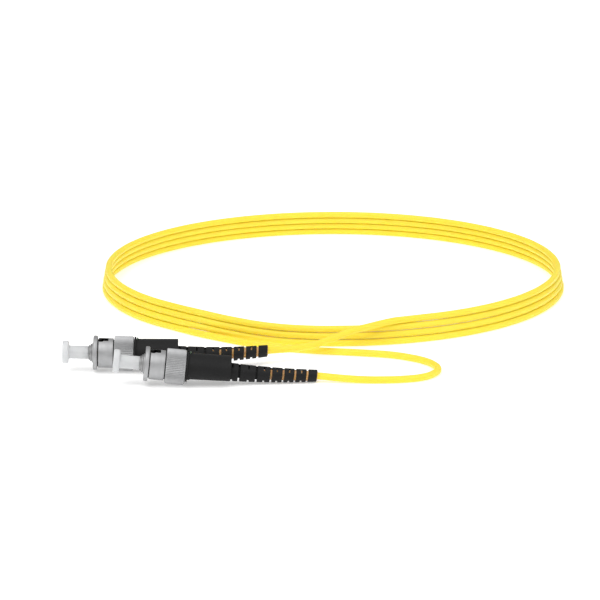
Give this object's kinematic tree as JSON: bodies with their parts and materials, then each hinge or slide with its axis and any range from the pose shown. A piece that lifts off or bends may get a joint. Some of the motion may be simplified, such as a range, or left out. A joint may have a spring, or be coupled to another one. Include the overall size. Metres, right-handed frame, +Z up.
{
  "type": "fiber optic patch cord",
  "caption": "Coiled yellow simplex fiber patch cord with a metal bayonet connector, black slotted boot and clear dust cap on each end.",
  "frame": {"origin": "on the surface that the cord lies on, under the middle of the box around the two connectors", "axes": "+Z up; +X from the dust caps towards the boots' tails; +Y from the connectors towards the coil"},
  "size_m": [0.1486, 0.1869, 0.0108],
  "materials": {
    "dust_cap": "translucent moulded plastic",
    "ceramic": "polished zirconia",
    "holder_brass": "turned",
    "body_metal": "satin nickel plate",
    "nut_metal": "satin nickel plate, knurled ring",
    "spring_steel": "drawn wire",
    "washer_steel": "stamped",
    "clip_metal": "stamped",
    "buffer_white": "extruded",
    "aramid": "yarn",
    "crimp_metal": "crimped",
    "boot_rubber": "moulded",
    "sleeve_orange": "extruded tube",
    "jacket_yellow": "extruded jacket, satin"
  },
  "bodies": {
    "root": {"ferrule_a": "ceramic", "ferrule_holder_a": "holder_brass", "connector_body_a": "body_metal", "nut_spring_a": "spring_steel", "retaining_clip_a": "clip_metal", "buffered_fiber_a": "buffer_white", "aramid_yarn_a": "aramid", "crimp_sleeve_a": "crimp_metal", "boot_a": "boot_rubber", "strain_sleeve_a": "sleeve_orange", "cord_end_a": "jacket_yellow", "ferrule_b": "ceramic", "ferrule_holder_b": "holder_brass", "connector_body_b": "body_metal", "nut_spring_b": "spring_steel", "retaining_clip_b": "clip_metal", "buffered_fiber_b": "buffer_white", "aramid_yarn_b": "aramid", "crimp_sleeve_b": "crimp_metal", "boot_b": "boot_rubber", "strain_sleeve_b": "sleeve_orange", "cord_end_b": "jacket_yellow", "cord_lead_a": "jacket_yellow", "cord_coil": "jacket_yellow", "cord_lead_b": "jacket_yellow"},
    "cap_a": {"dust_cap_a": "dust_cap"},
    "nut_carrier_a": {"spring_washer_a": "washer_steel"},
    "nut_a": {"coupling_nut_a": "nut_metal"},
    "cap_b": {"dust_cap_b": "dust_cap"},
    "nut_carrier_b": {"spring_washer_b": "washer_steel"},
    "nut_b": {"coupling_nut_b": "nut_metal"}
  },
  "joints": [
    {"name": "cap_slide_a", "type": "slide", "parent": "root", "child": "cap_a", "axis": [-0.9988, -0.0314, 0.0384], "range_m": [0, 0.014]},
    {"name": "nut_slide_a", "type": "slide", "parent": "root", "child": "nut_carrier_a", "axis": [-0.9988, -0.0314, 0.0384], "range_m": [0, 0.0018], "stiffness_N_per_m": 600, "springref_m": -0.001, "deforming": ["nut_spring_a"]},
    {"name": "nut_turn_a", "type": "hinge", "parent": "nut_carrier_a", "child": "nut_a", "pos_m": [-0.01617, 0.00579, 0.00485], "axis": [-0.9988, -0.0314, 0.0384], "continuous": true},
    {"name": "cap_slide_b", "type": "slide", "parent": "root", "child": "cap_b", "axis": [-0.993, -0.0347, 0.1132], "range_m": [0, 0.014]},
    {"name": "nut_slide_b", "type": "slide", "parent": "root", "child": "nut_carrier_b", "axis": [-0.993, -0.0347, 0.1132], "range_m": [0, 0.0018], "stiffness_N_per_m": 600, "springref_m": -0.001, "deforming": ["nut_spring_b"]},
    {"name": "nut_turn_b", "type": "hinge", "parent": "nut_carrier_b", "child": "nut_b", "pos_m": [-0.00112, -0.00841, 0.00482], "axis": [-0.993, -0.0347, 0.1132], "continuous": true}
  ]
}
